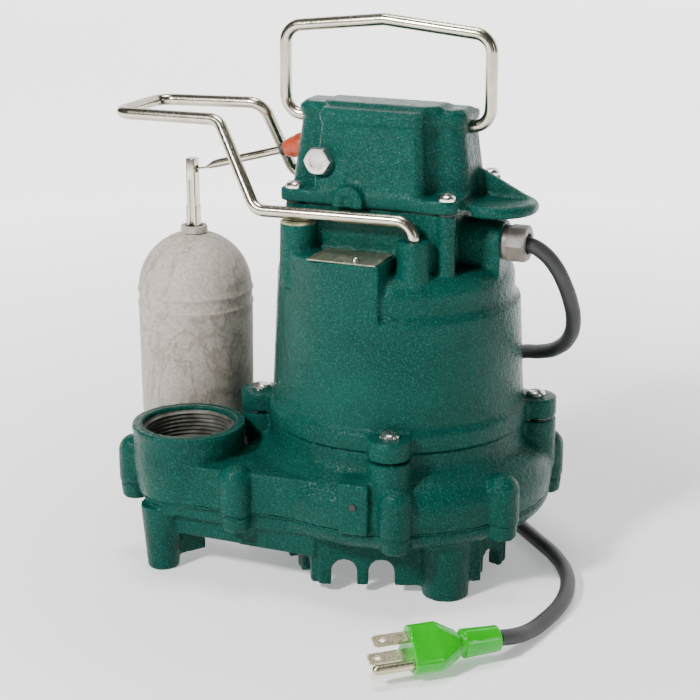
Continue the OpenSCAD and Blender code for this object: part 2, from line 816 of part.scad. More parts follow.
// Half of a dome's outline, from the rim at 0 degrees up to the sleeve
function dome(r, h) = let (top = acos((sleeve_r + sleeve_wall) / r))
    [for (i = [0:12]) let (a = top * i / 12) [r * cos(a), h * sin(a)]];
function reversed(p) = [for (i = [len(p) - 1:-1:0]) p[i]];

module weld_ridge(z) {
    rotate_extrude() polygon([[float_r - shell_t, z - 1.1], [float_r, z - 1.1],
        [float_r + 0.9, z], [float_r, z + 1.1], [float_r - shell_t, z + 1.1]]);
}

module float_upper_shell() {
    h = float_top_z - weld_z[0];
    color(grey) translate([float_x, float_y]) {
        translate([0, 0, weld_z[0]]) rotate_extrude() polygon(concat(
            [[float_r - shell_t, split_z - weld_z[0]], [float_r, split_z - weld_z[0]]],
            dome(float_r, h), reversed(dome(float_r - shell_t, h - shell_t))));
        weld_ridge(weld_z[0]);
    }
}

module float_lower_shell() {
    r = float_r;
    color(grey) translate([float_x, float_y]) {
        translate([0, 0, float_bottom_z + r]) mirror([0, 0, 1]) rotate_extrude() polygon(concat(
            [[r - shell_t, float_bottom_z + r - split_z], [r, float_bottom_z + r - split_z]],
            dome(r, r), reversed(dome(r - shell_t, r - shell_t))));
        weld_ridge(weld_z[1]);
    }
}

module float_sleeve() {
    color(grey) difference() {
        union() {
            post([float_x, float_y], sleeve_r + sleeve_wall, float_bottom_z, float_top_z + 2);
            post([float_x, float_y], 7.4, float_top_z - 0.2, float_top_z + 3.5);
        }
        post([float_x, float_y], sleeve_r, 0, far);
    }
}

// ------------------------------------------------------------------ power cord

module gland_body() {
    color("#9b928a") difference() {
        union() {
            along_x(44, gland_x, 8);
            along_x(gland_x, nut_x, 9);
            along_x(nut_x, nut_x + 5, 6.4);
        }
        along_x(40, far, 4.8);
    }
}

module gland_seal() {
    color("#26221f") difference() {
        along_x(nut_x + 5, nut_x + 8, 6.4);
        along_x(40, far, cord_r);
    }
}

module gland_nut() {
    color("#9b928a") difference() {
        intersection() {
            translate([nut_x, port_y, port_z]) rotate([0, 90, 0]) rotate(30)
                cylinder(h = nut_end_x - nut_x, r = nut_r, $fn = 6);
            translate([nut_x, port_y, port_z]) rotate([0, 90, 0]) rotate_extrude()
                polygon([[0, 0], [nut_r, 0], [nut_r, nut_end_x - nut_x - 1],
                    [nut_r - 1.2, nut_end_x - nut_x], [0, nut_end_x - nut_x]]);
        }
        along_x(nut_x - 1, nut_x + 8, 6.4);
        along_x(nut_x, far, 5.6);
    }
}

// The cord leaves the gland, sweeps behind the motor and drops to the coil.
lead_route = [[61, -2, 180], [67, -2, 180], [72.5, -2, 179.5], [79, -1, 176], [85, 1, 169],
    [89, 4, 160], [91.5, 8, 150], [92, 14, 138.5], [88, 23, 126], [78, 34, 115], [65, 46, 108],
    [52, 58, 103], [40, 70, 95], [29, 82, 81], [20, 94, 66], [12, 108, 50], [7.5, 121, 38],
    [4.5, 134, 31], [1.5, 147, 29.3]];
// It leaves the coil along the floor and comes round to the front.
tail_route = [[-38, 105.5, 4], [-24, 105.5, 4], [-8, 104, 4], [12, 98, 4], [30, 86, 4],
    [44, 68, 4], [55, 49, 4], [70, 32, 4], [87, 13, 4], [99, -7, 4], [105, -26, 4],
    [107, -45, 4], [105.5, -64, 4], [102.5, -82, 5], [99, -97, 8], [94, -108, 11]];
coil_xy = [-48, 158];
coil_mid_r = 48;
coil_half_w = 8.5;
coil_z = [1, 33.5];
tie_t = 1;
ring_steps = 2;

module cord_lead() {
    color("#2b2b2d") swept_tube(spline(lead_route, ring_steps), cord_r, [0, 1, 0]);
}

module cord_tail() {
    color("#2b2b2d") swept_tube(spline(tail_route, ring_steps), cord_r, [0, 0, 1]);
}

// Section of the coil's turns, drawn out by grow
module coil_section(grow = 0) {
    translate([0, (coil_z[0] + coil_z[1]) / 2])
        rounded(2 * (coil_half_w + grow), coil_z[1] - coil_z[0] + 2 * grow, 4 + grow);
}

module cord_coil() {
    color("#2b2b2d") translate([coil_xy[0], coil_xy[1], 0])
        rotate_extrude() translate([coil_mid_r, 0]) coil_section();
}

module cord_tie() {
    color("#1a1a1a") translate([coil_xy[0], coil_xy[1], 0]) rotate(60)
        translate([coil_mid_r, 0, 0]) rotate([90, 0, 0])
            linear_extrude(5, center = true) difference() {
                coil_section(tie_t);
                coil_section();
            }
}

// The plug's own frame: z along the pins, x towards the ground pin
plug_end = tail_route[len(tail_route) - 1];
plug_dir = unit([-0.72, -0.69, 0.02]);
plug_roll = 23;

module on_plug() {
    flat = unit(cross([0, 0, 1], plug_dir));
    x = unit(flat * cos(plug_roll) - cross(plug_dir, flat) * sin(plug_roll));
    frame_at(x, cross(plug_dir, x), plug_dir, plug_end) children();
}

blade_x = -4;
blade_y = 6.35;
ground_x = 7.9;
face_z = 47;

module plug_body() {
    color("#22d01c") on_plug() difference() {
        union() {
            cylinder(h = 19, r1 = 6.4, r2 = 7.2);
            translate([0, 0, 18]) cylinder(h = 5, r = 5.6);
            hull() {
                translate([0, 0, 22]) cylinder(h = 1, r = 7, $fn = 32);
                for (y = [-1, 1]) translate([blade_x, y * blade_y, 33])
                    cylinder(h = face_z - 33, r = 5.6, $fn = 32);
                translate([ground_x, 0, 33]) cylinder(h = face_z - 33, r = 5.2, $fn = 32);
            }
        }
        for (y = [-1, 1]) translate([blade_x - 3.15, y * blade_y - 0.75, face_z - 8])
            cube([6.3, 1.5, 20]);
        translate([ground_x, 0, face_z - 8]) cylinder(h = 20, r = 2.4);
    }
}

module plug_blades() {
    color("#b9ae94") on_plug() for (y = [-1, 1]) translate([blade_x, y * blade_y, face_z - 8])
        difference() {
            union() {
                translate([-3.15, -0.75, 0]) cube([6.3, 1.5, 24.5]);
                translate([-2.4, -0.75, 24.5]) cube([4.8, 1.5, 1]);
            }
            translate([0, 0, 21]) rotate([90, 0, 0]) cylinder(h = 6, r = 1.6, center = true);
        }
}

module plug_ground_pin() {
    color("#b9ae94") on_plug() translate([ground_x, 0, face_z - 8]) {
        cylinder(h = 26.6, r = 2.4);
        translate([0, 0, 26.6]) sphere(2.4);
    }
}

motor_housing();
flange_screws();
nameplate();
nameplate_pin();
switch_case();
case_gasket();
case_screws();
case_bolt();
lifting_handle();
float_guard();
volute();
flange_seal();
base();
base_gasket();
base_screws();
impeller();
motor_shaft();
rotor_core();
rotor_end_rings();
stator_core();
stator_windings();
upper_bearing();
lower_bearing();
seal_seat();
seal_ring();
seal_spring();
switch_body();
switch_bracket();
switch_lever();
wire_connectors();
thermal_protector();
float_arm();
arm_boot();
arm_collar();
float_rod();
rod_stop();
float_upper_shell();
float_lower_shell();
float_sleeve();
gland_body();
gland_seal();
gland_nut();
cord_lead();
cord_coil();
cord_tail();
cord_tie();
plug_body();
plug_blades();
plug_ground_pin();
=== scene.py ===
"""A submersible sump pump with a vertical float switch, seen from its front right.

Metres, +Z up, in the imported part's frame. Millimetres become metres by MM, mm() or mm_profile().
"""

import json
import math

import bmesh
import bpy
from mathutils import Matrix, Vector


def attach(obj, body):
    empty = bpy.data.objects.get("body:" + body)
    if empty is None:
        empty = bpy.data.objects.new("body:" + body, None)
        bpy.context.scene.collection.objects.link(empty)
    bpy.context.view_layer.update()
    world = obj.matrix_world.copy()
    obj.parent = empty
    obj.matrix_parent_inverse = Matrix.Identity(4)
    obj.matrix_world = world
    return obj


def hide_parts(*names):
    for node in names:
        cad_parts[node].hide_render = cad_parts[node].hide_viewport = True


MM = 0.001
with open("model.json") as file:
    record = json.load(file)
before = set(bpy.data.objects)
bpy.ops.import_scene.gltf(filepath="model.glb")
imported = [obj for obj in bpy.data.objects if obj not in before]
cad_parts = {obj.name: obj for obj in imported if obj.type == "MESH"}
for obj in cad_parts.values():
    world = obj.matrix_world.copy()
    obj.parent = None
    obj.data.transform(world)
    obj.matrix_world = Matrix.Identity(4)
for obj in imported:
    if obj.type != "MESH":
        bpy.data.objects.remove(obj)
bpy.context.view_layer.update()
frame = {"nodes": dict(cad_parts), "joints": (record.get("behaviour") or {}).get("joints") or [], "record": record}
NODES = frame["nodes"]
PIVOTS = {j["name"]: Vector(j["pos_m"]) for j in frame["joints"] if "pos_m" in j}
MOUNTS = {m["name"]: Vector(m["pos_m"]) for m in frame["record"]["mounts"]}

# ------------------------------------------------------------------- camera

CAMERA_AZIMUTH = math.radians(22.6)
CAMERA_ELEVATION = math.radians(17.28)
CAMERA_DISTANCE = 1.00012
CAMERA_LENS = 96.07
CAMERA_ACROSS = -0.02587
CAMERA_HEIGHT = 0.11424


def place_camera():
    a, e = CAMERA_AZIMUTH, CAMERA_ELEVATION
    back = Vector((math.sin(a) * math.cos(e), -math.cos(a) * math.cos(e), math.sin(e)))
    right = Vector((math.cos(a), math.sin(a), 0))
    up = back.cross(right)
    target = right * CAMERA_ACROSS + Vector((0, 0, CAMERA_HEIGHT))
    data = bpy.data.cameras.new("camera")
    data.lens = CAMERA_LENS
    data.sensor_width = 36
    data.clip_start = 0.05
    camera = bpy.data.objects.new("camera", data)
    bpy.context.scene.collection.objects.link(camera)
    turn = Matrix((right, up, back)).transposed().to_4x4()
    camera.matrix_world = Matrix.Translation(target + back * CAMERA_DISTANCE) @ turn
    bpy.context.scene.camera = camera


place_camera()

# ------------------------------------------------------------ mesh builders


def link(name, mesh):
    obj = bpy.data.objects.new(name, mesh)
    bpy.context.scene.collection.objects.link(obj)
    return obj


def mesh_object(name, verts, faces, smooth=True):
    mesh = bpy.data.meshes.new(name)
    mesh.from_pydata([tuple(v) for v in verts], [], faces)
    mesh.update()
    mesh.polygons.foreach_set("use_smooth", [smooth] * len(mesh.polygons))
    return link(name, mesh)


def finish_piece(obj, material, body="pump", replaces=()):
    """The piece gets its material, its body and the CAD nodes it stands for."""
    obj.data.materials.clear()
    obj.data.materials.append(material)
    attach(obj, body)
    if replaces:
        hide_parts(*replaces)
    return obj


def shade_by_angle(obj, degrees=35):
    """Smooth shading with the sharper edges kept."""
    work = bmesh.new()
    work.from_mesh(obj.data)
    limit = math.radians(degrees)
    for face in work.faces:
        face.smooth = True
    for edge in work.edges:
        edge.smooth = not edge.is_manifold or edge.calc_face_angle(0) < limit
    work.to_mesh(obj.data)
    work.free()
    return obj


def mm(points):
    """Places given in millimetres."""
    return [Vector(p) * MM for p in points]


def mm_profile(points):
    """Radius and height pairs given in millimetres."""
    return [(r * MM, z * MM) for r, z in points]


BEND_STEP = math.radians(7)


def bent_line(p, bend):
    """The middle line of a wire through the points, with a round bend at each inner one."""
    line = [p[0]]
    for i in range(1, len(p) - 1):
        u = (p[i] - p[i - 1]).normalized()
        v = (p[i + 1] - p[i]).normalized()
        angle = u.angle(v)
        axis = u.cross(v).normalized()
        inward = axis.cross(u).normalized()
        start = p[i] - u * bend * math.tan(angle / 2)
        middle = start + inward * bend
        count = max(2, math.ceil(angle / BEND_STEP))
        for j in range(count + 1):
            t = angle * j / count
            line.append(middle + bend * (u * math.sin(t) - inward * math.cos(t)))
    return line + [p[-1]]


# Sides of a wire's round section
WIRE_SIDES = 28


def tube_faces(rings, sides):
    """The faces between rings of vertices, and one face at each end."""
    faces = []
    for i in range(rings - 1):
        for j in range(sides):
            k = (j + 1) % sides
            faces.append((i * sides + j, i * sides + k, (i + 1) * sides + k, (i + 1) * sides + j))
    faces.append(tuple(range(sides - 1, -1, -1)))
    faces.append(tuple((rings - 1) * sides + j for j in range(sides)))
    return faces


def swept(name, line, radius, first):
    """A closed tube along the line; first is the side that its rings start from."""
    last = len(line) - 1
    side = Vector(first)
    verts = []
    for i, p in enumerate(line):
        t = (line[min(i + 1, last)] - line[max(i - 1, 0)]).normalized()
        side = (side - side.dot(t) * t).normalized()
        other = t.cross(side)
        for j in range(WIRE_SIDES):
            a = 2 * math.pi * j / WIRE_SIDES
            verts.append(p + radius * (side * math.cos(a) + other * math.sin(a)))
    return mesh_object(name, verts, tube_faces(len(line), WIRE_SIDES))


def lathe(name, profile, middle=(0, 0, 0), axis=(0, 0, 1), sides=72):
    """A turned solid: profile is (radius, height) pairs along axis from middle."""
    z = Vector(axis).normalized()
    x = z.orthogonal().normalized()
    y = z.cross(x)
    middle = Vector(middle)
    verts, faces = [], []
    for r, h in profile:
        for j in range(sides):
            a = 2 * math.pi * j / sides
            verts.append(middle + z * h + r * (x * math.cos(a) + y * math.sin(a)))
    n = len(profile)
    for i in range(n):
        k = (i + 1) % n
        for j in range(sides):
            m = (j + 1) % sides
            faces.append((i * sides + j, i * sides + m, k * sides + m, k * sides + j))
    obj = mesh_object(name, verts, faces)
    work = bmesh.new()
    work.from_mesh(obj.data)
    bmesh.ops.remove_doubles(work, verts=work.verts, dist=1e-7)
    bmesh.ops.dissolve_degenerate(work, dist=1e-7, edges=work.edges)
    bmesh.ops.recalc_face_normals(work, faces=work.faces)
    work.to_mesh(obj.data)
    work.free()
    return obj


def copy_of(node, name):
    """A piece with the CAD node's own shape, its doubled vertices joined."""
    obj = link(name, NODES[node].data.copy())
    work = bmesh.new()
    work.from_mesh(obj.data)
    bmesh.ops.remove_doubles(work, verts=work.verts, dist=1e-6)
    work.to_mesh(obj.data)
    work.free()
    return obj


def bevelled(node, name, width, angle, segments):
    """The CAD node's shape with its sharp edges broken."""
    obj = copy_of(node, name)
    work = bmesh.new()
    work.from_mesh(obj.data)
    bmesh.ops.dissolve_limit(
        work, angle_limit=math.radians(1), verts=work.verts, edges=work.edges
    )
    sharp = [e for e in work.edges if e.is_manifold and e.calc_face_angle(0) > math.radians(angle)]
    bmesh.ops.bevel(
        work, geom=sharp, offset=width, offset_type="OFFSET", segments=segments,
        profile=0.5, affect="EDGES", clamp_overlap=True,
    )
    work.to_mesh(obj.data)
    work.free()
    return shade_by_angle(obj, 40)


def apply_modifiers(obj):
    depsgraph = bpy.context.evaluated_depsgraph_get()
    mesh = bpy.data.meshes.new_from_object(obj.evaluated_get(depsgraph))
    obj.modifiers.clear()
    obj.data = mesh
    return obj


def skinned(node, name, voxel, rounds):
    """The CAD node's shape with its edges and corners softened."""
    obj = copy_of(node, name)
    remesh = obj.modifiers.new("skin", "REMESH")
    remesh.mode = "VOXEL"
    remesh.voxel_size = voxel
    smooth = obj.modifiers.new("fillets", "SMOOTH")
    smooth.factor = 0.5
    smooth.iterations = rounds
    apply_modifiers(obj)
    obj.data.polygons.foreach_set("use_smooth", [True] * len(obj.data.polygons))
    return obj


# ---------------------------------------------------------------- materials


# Sockets of the colour mix node, which have the same names for its other data types
MIX_SHARE, MIX_FIRST, MIX_SECOND, MIX_RESULT = 0, 6, 7, 2


class Nodes:
    """A short way to write a node material."""

    def __init__(self, name):
        self.material = bpy.data.materials.new(name)
        self.material.use_nodes = True
        self.tree = self.material.node_tree
        self.shader = self.tree.nodes["Principled BSDF"]
        self.place = self.add("ShaderNodeTexCoord").outputs["Object"]

    def add(self, kind, **settings):
        node = self.tree.nodes.new(kind)
        for key, value in settings.items():
            if hasattr(node, key):
                setattr(node, key, value)
            else:
                node.inputs[key.replace("_", " ")].default_value = value
        return node

    def join(self, source, node, socket):
        self.tree.links.new(source, node.inputs[socket])

    def noise(self, scale, detail=3.0, rough=0.5, distortion=0.0, place=None):
        node = self.add("ShaderNodeTexNoise")
        node.inputs["Scale"].default_value = scale
        node.inputs["Detail"].default_value = detail
        node.inputs["Roughness"].default_value = rough
        node.inputs["Distortion"].default_value = distortion
        self.join(place or self.place, node, "Vector")
        return node.outputs["Fac"]

    def stretched(self, scale):
        node = self.add("ShaderNodeMapping")
        node.inputs["Scale"].default_value = scale
        self.join(self.place, node, "Vector")
        return node.outputs["Vector"]

    def ramp(self, source, stops):
        node = self.add("ShaderNodeValToRGB")
        elements = node.color_ramp.elements
        while len(elements) < len(stops):
            elements.new(0.5)
        for element, (where, colour) in zip(elements, stops):
            element.position = where
            if isinstance(colour, (int, float)):
                colour = (colour, colour, colour)
            element.color = (*colour, 1)
        self.join(source, node, "Fac")
        return node.outputs["Color"]

    def colour(self, source):
        self.join(source, self.shader, "Base Color")

    def rough(self, source):
        self.join(source, self.shader, "Roughness")

    def bump(self, *layers):
        """Layers are (height source, distance in metres)."""
        normal = None
        for source, depth in layers:
            node = self.add("ShaderNodeBump")
            node.inputs["Strength"].default_value = 1.0
            node.inputs["Distance"].default_value = depth
            self.join(source, node, "Height")
            if normal:
                self.join(normal, node, "Normal")
            normal = node.outputs["Normal"]
        self.join(normal, self.shader, "Normal")

    def fixed(self, **sockets):
        for key, value in sockets.items():
            self.shader.inputs[key.replace("_", " ")].default_value = value

    def mixed(self, first, second, share, blend="MIX"):
        """Two colours mixed; second and share are a fixed value or a source."""
        node = self.add("ShaderNodeMix", data_type="RGBA", blend_type=blend)
        for value, socket in ((share, MIX_SHARE), (first, MIX_FIRST), (second, MIX_SECOND)):
            if isinstance(value, (float, tuple)):
                node.inputs[socket].default_value = value
            else:
                self.join(value, node, socket)
        return node.outputs[MIX_RESULT]


def enamel(name="enamel"):
    """Deep green enamel with a fine hammered skin, and lighter flecks that are painted sparkle of its highlights.
    """
    m = Nodes(name)
    broad = m.noise(38, 3)
    base = m.ramp(broad, [(0.3, (0.0, 0.035, 0.026)), (0.7, (0.0, 0.049, 0.036))])
    # Painted highlight: fine lighter flecks stand in for the glints of the hammered skin.
    painted_sparkle = m.ramp(m.noise(1100, 2, 0.6), [(0.5, 0.0), (0.8, 1.0)])
    m.colour(m.mixed(base, (0.010, 0.110, 0.088, 1), painted_sparkle))
    hammered = m.noise(900, 2, 0.5, 0.4)
    waves = m.noise(240, 2)
    m.rough(m.ramp(waves, [(0.3, 0.16), (0.7, 0.24)]))
    m.bump((waves, 0.7 * MM), (hammered, 0.55 * MM))
    m.fixed(IOR=1.2, Specular_IOR_Level=0.5)
    return m.material


def bare_iron():
    m = Nodes("bare_iron")
    patch = m.noise(260, 4)
    m.colour(m.ramp(patch, [(0.35, (0.05, 0.075, 0.05)), (0.62, (0.42, 0.40, 0.22))]))
    m.rough(m.ramp(patch, [(0.3, 0.55), (0.7, 0.7)]))
    m.bump((m.noise(900, 3), 0.25 * MM))
    m.fixed(Metallic=0.25)
    return m.material


def thread_metal():
    m = Nodes("thread_metal")
    tone = m.noise(130, 4)
    m.colour(m.ramp(tone, [(0.3, (0.055, 0.055, 0.045)), (0.7, (0.19, 0.185, 0.16))]))
    m.rough(m.ramp(tone, [(0.3, 0.42), (0.7, 0.62)]))
    m.bump((m.noise(900, 3), 0.12 * MM))
    m.fixed(Metallic=0.65)
    return m.material


def satin_steel(name, low, high, rough=0.24, grain=(1, 1, 1), bump=0.03):
    m = Nodes(name)
    streak = m.noise(900, 3, place=m.stretched(grain))
    tone = m.noise(60, 2)
    m.colour(m.ramp(tone, [(0.3, low), (0.7, high)]))
    m.rough(m.ramp(streak, [(0.3, rough - 0.04), (0.7, rough + 0.08)]))
    m.bump((streak, bump * MM))
    m.fixed(Metallic=1.0)
    return m.material


def rubber(name, low, high, rough=0.55, depth=0.08):
    m = Nodes(name)
    grain = m.noise(1300, 3)
    m.colour(m.ramp(m.noise(80, 3), [(0.3, low), (0.7, high)]))
    m.rough(m.ramp(grain, [(0.3, rough - 0.06), (0.7, rough + 0.1)]))
    m.bump((grain, depth * MM))
    return m.material


def moulded(name, low, high, rough=0.42, depth=0.05):
    m = Nodes(name)
    m.colour(m.ramp(m.noise(140, 4), [(0.3, low), (0.7, high)]))
    grain = m.noise(1500, 2)
    m.rough(m.ramp(grain, [(0.3, rough - 0.05), (0.7, rough + 0.08)]))
    m.bump((grain, depth * MM))
    return m.material


def float_plastic():
    """Grey-beige moulding with flow lines and fine speckle."""
    m = Nodes("float_plastic")
    veins = m.noise(19, 5, 0.6, 2.6, place=m.stretched((1, 1, 0.55)))
    lines = m.ramp(veins, [(0.455, 0.0), (0.5, 1.0), (0.53, 0.0)])
    speckle = m.noise(520, 4, 0.7)
    base = m.ramp(speckle, [(0.3, (0.29, 0.248, 0.208)), (0.7, (0.47, 0.42, 0.365))])
    shade = m.ramp(lines, [(0.0, 1.0), (1.0, (0.5, 0.46, 0.42))])
    m.colour(m.mixed(base, shade, 0.6, "MULTIPLY"))
    m.rough(m.ramp(speckle, [(0.3, 0.5), (0.7, 0.68)]))
    m.bump((speckle, 0.18 * MM), (m.noise(90, 3), 0.4 * MM))
    return m.material


def clear_green():
    m = Nodes("clear_green")
    tone = m.noise(60, 3)
    m.colour(m.ramp(tone, [(0.3, (0.0, 0.30, 0.0)), (0.7, (0.0, 0.42, 0.002))]))
    m.rough(m.ramp(m.noise(300, 2), [(0.3, 0.12), (0.7, 0.22)]))
    m.bump((m.noise(200, 2), 0.12 * MM))
    m.fixed(IOR=1.45, Transmission_Weight=0.08, Coat_Weight=0.25, Coat_Roughness=0.1)
    # Painted light: a faint green glow, though the plug is no lamp.
    m.fixed(Emission_Color=(0.0, 0.7, 0.0, 1), Emission_Strength=0.12)
    return m.material


def plate_metal():
    m = Nodes("plate_metal")
    scuff = m.noise(120, 4, place=m.stretched((6, 1, 1)))
    m.colour(m.ramp(scuff, [
        (0.3, (0.13, 0.15, 0.10)), (0.62, (0.30, 0.31, 0.22)), (0.8, (0.52, 0.5, 0.4)),
    ]))
    m.rough(m.ramp(scuff, [(0.3, 0.3), (0.7, 0.5)]))
    m.bump((scuff, 0.05 * MM))
    m.fixed(Metallic=0.85)
    return m.material


LOOKS = {
    "enamel": enamel(),
    "stainless": satin_steel("stainless", (0.44, 0.40, 0.31), (0.55, 0.51, 0.41), 0.2, (1, 1, 0.15)),
    "fastener": satin_steel("fastener", (0.60, 0.57, 0.52), (0.78, 0.75, 0.70), 0.2),
    "bolt_head": satin_steel("bolt_head", (0.52, 0.49, 0.47), (0.66, 0.63, 0.61), 0.36, bump=0.1),
    "plate": plate_metal(),
    "gasket": rubber("gasket", (0.008, 0.008, 0.008), (0.022, 0.022, 0.02)),
    "painted_gasket": enamel("painted_gasket"),
    "float_shell": float_plastic(),
    "boot": rubber("boot", (0.27, 0.023, 0.002), (0.38, 0.044, 0.006), 0.42),
    "collar": rubber("collar", (0.012, 0.01, 0.008), (0.035, 0.03, 0.024)),
    "gland": moulded("gland", (0.13, 0.11, 0.096), (0.21, 0.18, 0.16)),
    "cord": rubber("cord", (0.014, 0.014, 0.015), (0.027, 0.027, 0.028), 0.5, 0.06),
    "tie": rubber("tie", (0.01, 0.01, 0.01), (0.03, 0.03, 0.03)),
    "plug": clear_green(),
    "plug_metal": satin_steel("plug_metal", (0.52, 0.45, 0.30), (0.68, 0.60, 0.43), 0.28),
    "core_steel": satin_steel("core_steel", (0.16, 0.16, 0.17), (0.3, 0.3, 0.31), 0.4, (1, 1, 30)),
    "end_ring": satin_steel("end_ring", (0.6, 0.6, 0.6), (0.75, 0.75, 0.75), 0.4),
    "winding": satin_steel("winding", (0.45, 0.16, 0.05), (0.65, 0.27, 0.1), 0.35, (1, 1, 12)),
    "impeller": moulded("impeller", (0.012, 0.012, 0.012), (0.03, 0.03, 0.03)),
    "ground_steel": satin_steel("ground_steel", (0.5, 0.5, 0.5), (0.65, 0.65, 0.65), 0.2),
    "seal_face": moulded("seal_face", (0.02, 0.02, 0.022), (0.05, 0.05, 0.055), 0.3),
    "switch_plastic": moulded("switch_plastic", (0.012, 0.012, 0.014), (0.035, 0.035, 0.04)),
    "zinc": satin_steel("zinc", (0.5, 0.46, 0.36), (0.62, 0.57, 0.46), 0.35),
    "wire_nut": moulded("wire_nut", (0.55, 0.42, 0.03), (0.68, 0.55, 0.06)),
}
BARE = bare_iron()
THREAD = thread_metal()


def dress_cad_nodes():
    """Each CAD node takes the material of its slot in the record."""
    for part in frame["record"]["subparts"]:
        mesh = NODES[part["node"]].data
        look = LOOKS[part["material_slot"]]
        if not mesh.materials:
            mesh.materials.append(look)
        for i in range(len(mesh.materials)):
            mesh.materials[i] = look


dress_cad_nodes()

# --------------------------------------------------------------------- plug

PLUG_VOXEL = 0.55 * MM
PLUG_ROUNDS = 3
plug = finish_piece(skinned("plug_body", "plug_moulding", PLUG_VOXEL, PLUG_ROUNDS), LOOKS["plug"],
                    replaces=("plug_body",))

# --------------------------------------------------------------------- cord

CORD_R = 4 * MM
COIL_MIDDLE = Vector((-0.048, 0.158, 0))
LEAD = [
    (61, -2, 180), (67, -2, 180), (72.5, -2, 179.5), (79, -1, 176), (85, 1, 169),
    (89, 4, 160), (91.5, 8, 150), (92, 14, 138.5), (88, 23, 126), (78, 34, 115), (65, 46, 108),
    (52, 58, 103), (40, 70, 95), (29, 82, 81), (20, 94, 66), (12, 108, 50), (7.5, 121, 38),
    (4.5, 134, 31), (1.5, 147, 29.3),
]
TAIL = [
    (-24, 105.5, 4), (-8, 104, 4), (12, 98, 4), (30, 86, 4), (44, 68, 4), (55, 49, 4),
    (70, 32, 4), (87, 13, 4), (99, -7, 4), (105, -26, 4), (107, -45, 4), (105.5, -64, 4),
    (102.5, -82, 5), (99, -97, 8), (94, -108, 11),
]
# The coil's rings in the order that the cord fills them: radius and height
COIL_RINGS = [(50, 29), (44, 21), (52, 21), (52, 13), (44, 13), (44, 5), (52, 5)]
COIL_START = math.radians(-8)
POINTS_PER_TURN = 20
# Share of a turn after which the cord eases over to the next ring
STEADY_SHARE = 0.7
# Points left out of the last turn, where the tail takes over
LAST_POINTS = 4


def coil_points():
    """The cord winds from ring to ring, easing over in the last part of each turn."""
    points = []
    rings = COIL_RINGS + [COIL_RINGS[-1]]
    total = len(COIL_RINGS) * POINTS_PER_TURN
    for i in range(1, total - LAST_POINTS):
        turn, part = divmod(i, POINTS_PER_TURN)
        t = part / POINTS_PER_TURN
        blend = max(0.0, (t - STEADY_SHARE) / (1 - STEADY_SHARE))
        blend = blend * blend * (3 - 2 * blend)
        (r0, z0), (r1, z1) = rings[turn], rings[turn + 1]
        r = (r0 + (r1 - r0) * blend) * MM
        z = (z0 + (z1 - z0) * blend) * MM
        a = COIL_START + 2 * math.pi * i / POINTS_PER_TURN
        points.append(COIL_MIDDLE + Vector((r * math.cos(a), r * math.sin(a), z)))
    return points


def make_cord():
    points = mm(LEAD) + coil_points() + mm(TAIL)
    curve = bpy.data.curves.new("power_cord", "CURVE")
    curve.dimensions = "3D"
    curve.bevel_depth = CORD_R
    curve.bevel_resolution = 6
    curve.resolution_u = 6
    curve.use_fill_caps = True
    spline = curve.splines.new("BEZIER")
    spline.bezier_points.add(len(points) - 1)
    for bez, p in zip(spline.bezier_points, points):
        bez.co = p
        bez.handle_left_type = bez.handle_right_type = "AUTO"
    obj = bpy.data.objects.new("power_cord", curve)
    bpy.context.scene.collection.objects.link(obj)
    return obj


cord = finish_piece(make_cord(), LOOKS["cord"],
                    replaces=("cord_lead", "cord_coil", "cord_tail"))

# ----------------------------------------------------------------- castings

# Sand castings have no sharp edge
CAST_VOXEL = 1.0 * MM
CAST_ROUNDS = 5
for name in ("motor_housing", "switch_case", "volute", "base"):
    finish_piece(skinned(name, "cast_" + name, CAST_VOXEL, CAST_ROUNDS), LOOKS["enamel"],
                 replaces=(name,))

# -------------------------------------------------------------------- wires

WIRE_R = 6.35 / 2 * MM
BEND = 9.5 * MM

handle_line = bent_line(mm([
    (-39, -3, 238.5), (-63, -3, 238.5), (-63, -3, 284), (-8, -3, 290),
    (50, -3, 284.5), (50, -3, 238.5), (29, -3, 238.5)]), BEND)
finish_piece(swept("handle_wire", handle_line, WIRE_R, first=(0, 1, 0)), LOOKS["stainless"],
             "handle", ("lifting_handle",))
guard_line = bent_line(mm([
    (25, -45, 172), (25, -45, 196.5), (-62, -45, 195), (-92, -25, 236.5), (-153, -25, 236),
    (-153, 25, 235.5), (-90, 25, 237.5), (-80, 45, 195), (25, 45, 196.5), (25, 45, 172)]), BEND)
finish_piece(swept("guard_wire", guard_line, WIRE_R, first=(1, 0, 0)), LOOKS["stainless"],
             "pump", ("float_guard",))

# ----------------------------------------------------------- discharge thread

DISCHARGE = Vector((*MOUNTS["discharge"].xy, 0))
THREAD_PITCH = 2.21 * MM
THREAD_TOP = 76 * MM
THREAD_TURNS = 8
STEPS_PER_TURN = 64
# The ridge stands on the root and thins out to the low tip over its first and last steps
THREAD_ROOT, THREAD_TIP, THREAD_LOW_TIP = 24.3 * MM, 22.8 * MM, 24.0 * MM
LOW_STEPS = 8
# Half widths as shares of the pitch
ROOT_SHARE, TIP_SHARE = 0.52, 0.05


def thread_ridge():
    """One closed ridge that winds down the discharge's wall."""
    verts = []
    steps = STEPS_PER_TURN * THREAD_TURNS
    for i in range(steps + 1):
        a = 2 * math.pi * i / STEPS_PER_TURN
        z = THREAD_TOP - THREAD_PITCH * i / STEPS_PER_TURN
        tip = THREAD_TIP if LOW_STEPS < i < steps - LOW_STEPS else THREAD_LOW_TIP
        for r, h in ((THREAD_ROOT, ROOT_SHARE), (tip, TIP_SHARE), (tip, -TIP_SHARE),
                     (THREAD_ROOT, -ROOT_SHARE)):
            verts.append(DISCHARGE + Vector((r * math.cos(a), r * math.sin(a), z + h * THREAD_PITCH)))
    return mesh_object("discharge_thread", verts, tube_faces(steps + 1, 4), smooth=False)


